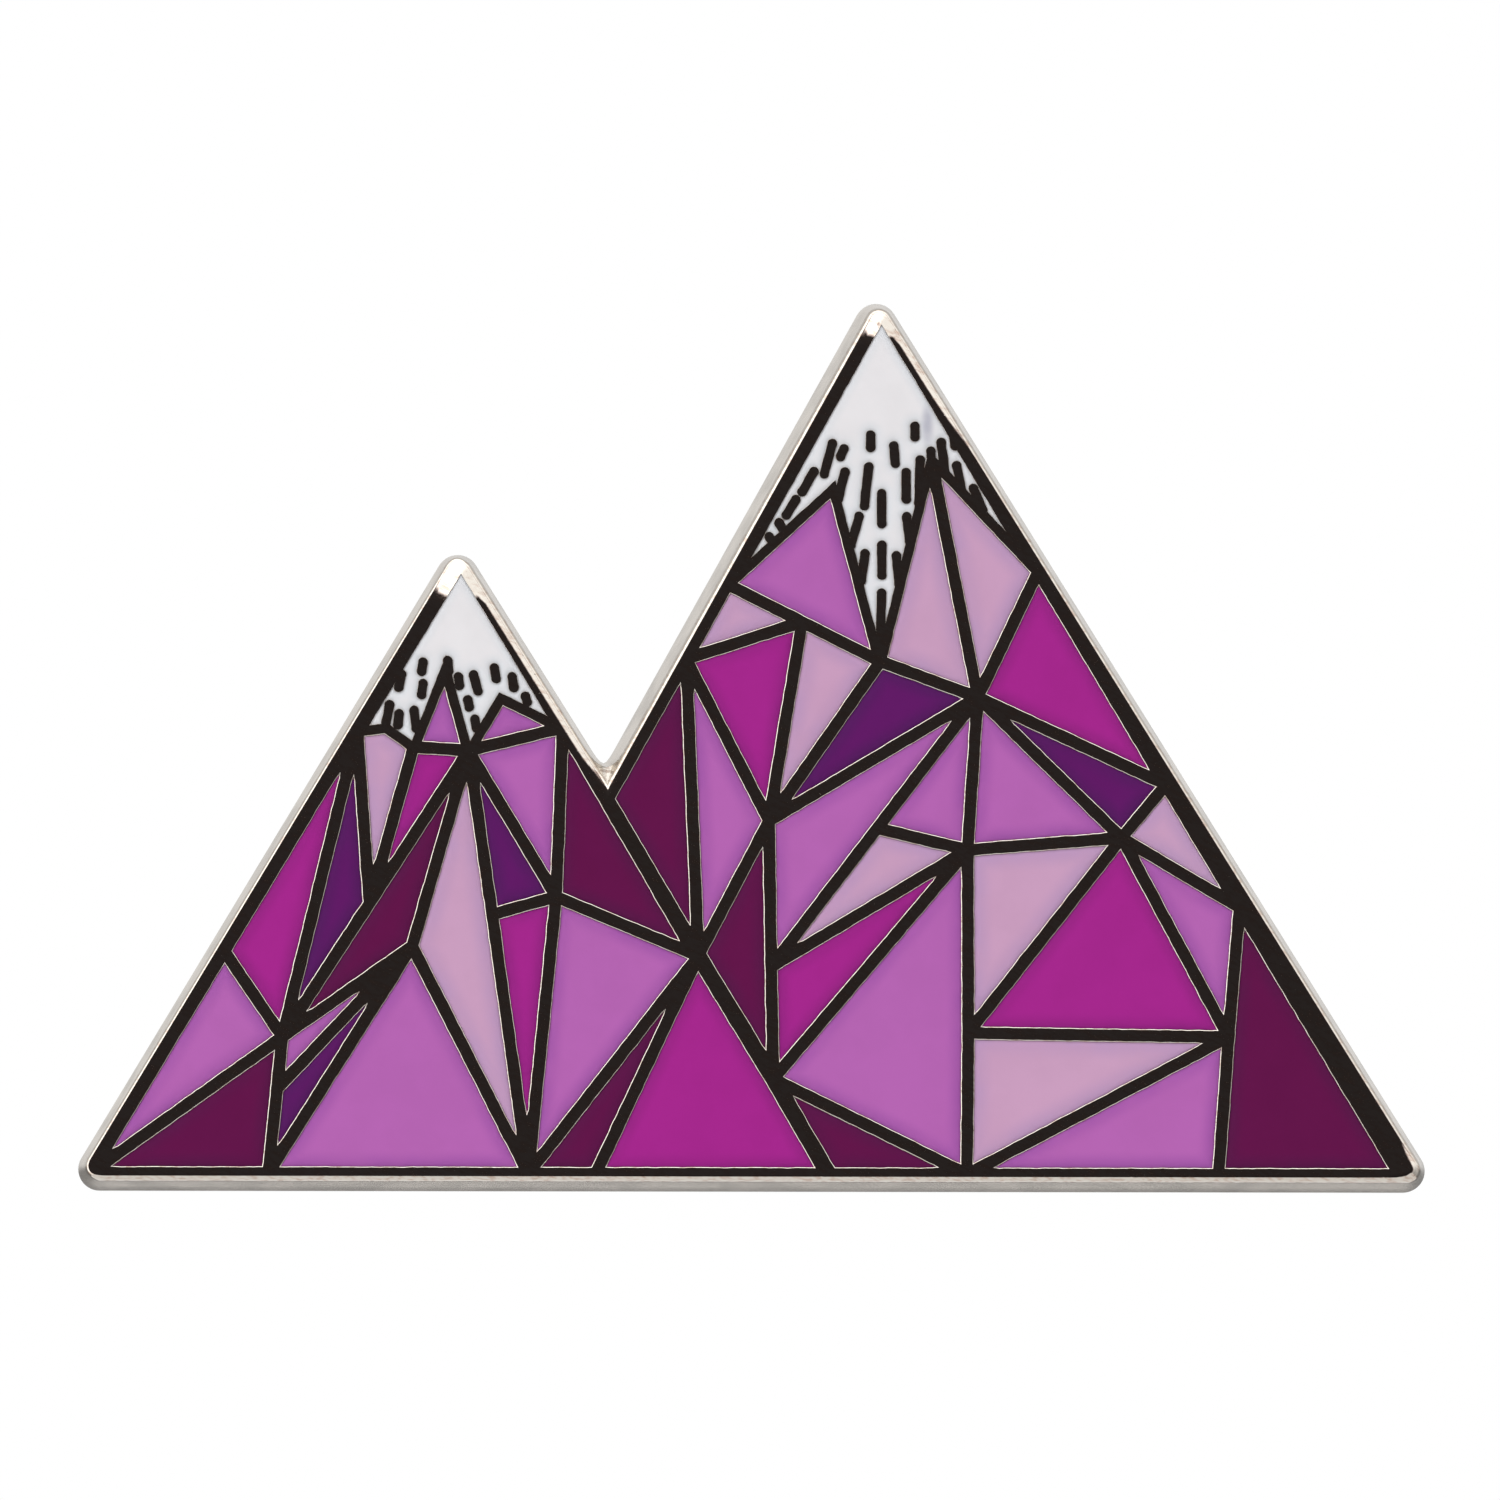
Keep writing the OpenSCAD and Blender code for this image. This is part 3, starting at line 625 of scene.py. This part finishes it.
def recess_walls(shell, loop, edge, peaks):
    """The wall of one recess or dash and the rounded edge of its line. Returns its first and last ring."""
    into_metal = left_directions(loop)
    rounding = DASH_EDGE if is_snow(loop) else LINE_EDGE
    rings = [shell.ring(loop, FACE_Y + POCKET_DEPTH, -into_metal, 0)]
    for turn in LINE_TURNS:
        s, c = math.sin(math.radians(turn)), math.cos(math.radians(turn))
        moved = loop + into_metal * rounding * (1 - c)
        rings.append(shell.ring(moved, FACE_Y + rounding * (1 - s), -into_metal, s))
    lean = peak_lean(loop, edge, -left_directions(edge), peaks)
    rings.append(shell.ring(loop + into_metal * rounding, FACE_Y, *lean))
    for first, second in zip(rings, rings[1:]):
        shell.band(first, second)
    return rings[0], rings[-1]


def post_hole(shell, side):
    """The seat of a solder joint and the hole for the foot of its post. Returns its outline and its ring."""
    low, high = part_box(f"{side}_solder")
    foot_low, foot_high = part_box(f"{side}_post")
    centre = np.array([(low.x + high.x) / 2, (low.z + high.z) / 2]) / MM
    seat_r, foot_r = (high.x - low.x) / 2 / MM, (foot_high.x - foot_low.x) / 2 / MM
    seat_y, foot_y = low.y / MM, foot_low.y / MM
    turns = np.linspace(0, 2 * math.pi, HOLE_SIDES, endpoint=False)
    circle = np.stack([np.cos(turns), np.sin(turns)], axis=1)
    levels = [(seat_r, 0), (seat_r, seat_y), (foot_r, seat_y), (foot_r, foot_y), (HOLE_MIDDLE, foot_y)]
    rings = [shell.ring(centre + circle * r, y, -circle, 0 if y else -1) for r, y in levels]
    for first, second in zip(rings, rings[1:]):
        shell.band(first, second, BLASTED)
    return centre + circle * seat_r, rings[0]


def base_piece(materials):
    """The struck base: rim and wall, lines and dashes over the floors of the recesses, and the back."""
    shell = Shell()
    edge = subdivided(outlines("pin_base", 0, 1)[0][::-1], RIM_STEP)
    valley = valley_of(edge)
    low_side = edge[:, 0] < valley[0]
    peaks = [edge[low_side][np.argmax(edge[low_side][:, 1])], edge[np.argmax(edge[:, 1])]]
    back_ring, face_ring = rim_rings(shell, edge, valley, peaks)

    pockets = [recess_line(loop) for loop in outlines("pin_base", FACE_Y, -1)[1:]]
    tops, feet = [face_ring], []
    for loop in pockets:
        foot, top = recess_walls(shell, loop, edge, peaks)
        feet.append(foot)
        tops.append(top)
    top_loops = [plain_loop(shell, ring) for ring in tops]
    shell.filling(tops, lambda middles: inside(middles, top_loops))
    shell.filling(feet, lambda middles: inside(middles, pockets))

    holes = [post_hole(shell, side) for side in ("left", "right")]
    back_loops = [plain_loop(shell, back_ring)] + [loop for loop, _ in holes]
    back_rings = [back_ring] + [ring for _, ring in holes]
    shell.filling(back_rings, lambda middles: inside(middles, back_loops), flip=True, finish=BLASTED)
    return shell.piece("struck_metal_base", materials)


# ---- The enamel ----
def enamel_piece(name, material):
    """One pour of enamel, with a slight dip in its face that deepens beside the metal."""
    shell = Shell()
    front_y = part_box(name)[0].y / MM
    side = 1 if name.endswith("snow_cap") else 0
    loops = [spread(wavered(subdivided(loop)), side) for loop in outlines(name, front_y, -1)]
    grid = SNOW_GRID if name.endswith("snow_cap") else ENAMEL_GRID
    low = np.min([loop.min(axis=0) for loop in loops], axis=0)
    high = np.max([loop.max(axis=0) for loop in loops], axis=0)
    columns, rows = np.ceil((high - low) / grid).astype(int)
    spots = np.array([
        (low[0] + (i + 0.5 * (j % 2)) * grid, low[1] + j * grid * ROW_PITCH)
        for j in range(int(rows / ROW_PITCH) + 2)
        for i in range(columns + 1)
    ])
    spots = spots[inside(spots, loops)]
    spots = spots[distance_to(spots, loops) > EDGE_CLEAR]
    inner = []
    for loop in loops:
        rim = loop + left_directions(loop) * INNER_RING
        inner.append(rim[inside(rim, loops) & (distance_to(rim, loops) > INNER_CLEAR)])
    spots = np.concatenate(inner + [spots])
    gaps = distance_to(spots, loops)
    floor_y = FACE_Y + POCKET_DEPTH
    edge_y = FACE_Y + POUR_DIP + MENISCUS_DROP
    top_rings, low_rings = [], []
    for loop in loops:
        out = -left_directions(loop)
        top_rings.append(shell.ring(loop, edge_y, out, 1))
        low_rings.append(shell.ring(loop, floor_y, out, 0))
        shell.band(low_rings[-1], top_rings[-1])
    inner_ids = []
    for (x, z), gap in zip(spots, gaps):
        drop = MENISCUS_DROP * math.exp(-gap / MENISCUS_REACH)
        inner_ids.append(len(shell.points))
        shell.points.append((x, FACE_Y + POUR_DIP + drop, z))
        shell.normals.append((0, -1, 0))
    shell.filling(top_rings, lambda middles: inside(middles, loops), extra=inner_ids)
    shell.filling(low_rings, lambda middles: inside(middles, loops), flip=True)
    made = shell.piece(name + "_pour", [material], smooth_normals=False)
    made.data.set_sharp_from_angle(angle=math.radians(CREASE_ANGLE))
    flat = np.array([(p[0], p[2]) for p in shell.points])
    distance = made.data.attributes.new("from_metal", "FLOAT", "POINT")
    distance.data.foreach_set("value", distance_to(flat, loops))
    return made


# ---- Camera, light and floor ----
def studio_light(scene):
    """Soft light from all round, brightest from the upper left, with the dark room behind the camera."""
    world = bpy.data.worlds.new("studio")
    scene.world = world
    world.use_nodes = True
    tree = world.node_tree
    background = tree.nodes["Background"]
    direction = node(tree, "ShaderNodeTexCoord").outputs["Generated"]

    def along(axis):
        """How far the light comes from one side, from -1 to 1."""
        made = node(tree, "ShaderNodeVectorMath", operation="DOT_PRODUCT")
        made.inputs[1].default_value = axis
        tree.links.new(direction, made.inputs[0])
        return made.outputs["Value"]

    room = map_range(tree, along(ROOM_SIDE), ROOM_OUTER, ROOM_INNER, 1.0, ROOM_LIGHT)
    sides = map_range(tree, along(KEY_SIDE), -0.9, 0.9, *SIDE_LIGHT)
    front = maths(tree, "MULTIPLY", room, sides)
    back = map_range(tree, along((0, 0, 1)), -0.05, 0.15, *BACK_LIGHT)
    behind = map_range(tree, along((0, 1, 0)), -0.1, 0.5)
    everywhere = mixed(tree, behind, front, back, "FLOAT")
    # What the camera sees straight away is plain white
    seen = node(tree, "ShaderNodeLightPath").outputs["Is Camera Ray"]
    tint = mixed(tree, maths(tree, "MAXIMUM", room, seen), (*ROOM_TINT, 1), (1, 1, 1, 1))
    tree.links.new(tint, background.inputs["Color"])
    strength = mixed(tree, seen, everywhere, 1.0, "FLOAT")
    tree.links.new(strength, background.inputs["Strength"])


def studio_camera(scene):
    """A camera a little to the left of the pin and a little below it."""
    azimuth, elevation = math.radians(AZIMUTH), math.radians(ELEVATION)
    away = Vector((
        math.sin(azimuth) * math.cos(elevation),
        -math.cos(azimuth) * math.cos(elevation),
        math.sin(elevation),
    ))
    data = bpy.data.cameras.new("camera")
    data.sensor_width = SENSOR_WIDTH
    data.lens = SENSOR_WIDTH * CAMERA_DISTANCE / VIEW_WIDTH
    data.clip_start, data.clip_end = 0.01, 10
    camera = bpy.data.objects.new("camera", data)
    scene.collection.objects.link(camera)
    camera.location = Vector(VIEW_CENTRE) + away * CAMERA_DISTANCE
    camera.rotation_mode = "QUATERNION"
    turned = Quaternion((0, 0, 1), math.radians(ROLL))
    camera.rotation_quaternion = (-away).to_track_quat("-Z", "Y") @ turned
    scene.camera = camera


def pale_floor(scene):
    """A plain square of floor below the pin."""
    material, _, shader = new_material("pale_floor")
    shader.inputs["Base Color"].default_value = (0.7, 0.7, 0.7, 1)
    shader.inputs["Roughness"].default_value = 0.9
    turns = ((-1, -1), (1, -1), (1, 1), (-1, 1))
    corners = [(x * FLOOR_REACH, y * FLOOR_REACH, FLOOR_LEVEL) for x, y in turns]
    mesh = bpy.data.meshes.new("floor")
    mesh.from_pydata(corners, [], [(0, 1, 2, 3)])
    mesh.materials.append(material)
    floor = bpy.data.objects.new("floor", mesh)
    scene.collection.objects.link(floor)


studio = bpy.context.scene
studio.view_settings.view_transform = "Standard"
studio_camera(studio)
studio_light(studio)
pale_floor(studio)
plated = plating_material("polished_plating", (190, 184, 175), (168, 150, 138), 0.05, 0.2, 2.5e-6)
blasted = blasted_material("blasted_back", (190, 188, 184), 0.4, 14000, 1.2e-5)
satin = blasted_material("satin_side", (214, 207, 198), 0.24, 22000, 3e-6)
fittings = plating_material("tumbled_plating", (208, 204, 196), (190, 180, 165), 0.16, 0.3, 3e-6)
grey_solder = blasted_material("dull_solder", (168, 168, 168), 0.38, 6000, 2e-5)
base = base_piece([plated, blasted, satin])
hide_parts("pin_base")
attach(base, "pin")
enamels = {slot: enamel_material(slot) for slot in ENAMELS}
for part, slot in SLOT_OF.items():
    if slot in enamels:
        pour = enamel_piece(part, enamels[slot])
        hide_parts(part)
        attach(pour, "pin")
    elif part != "pin_base":
        frame["nodes"][part].data.materials[0] = grey_solder if slot == "solder" else fittings
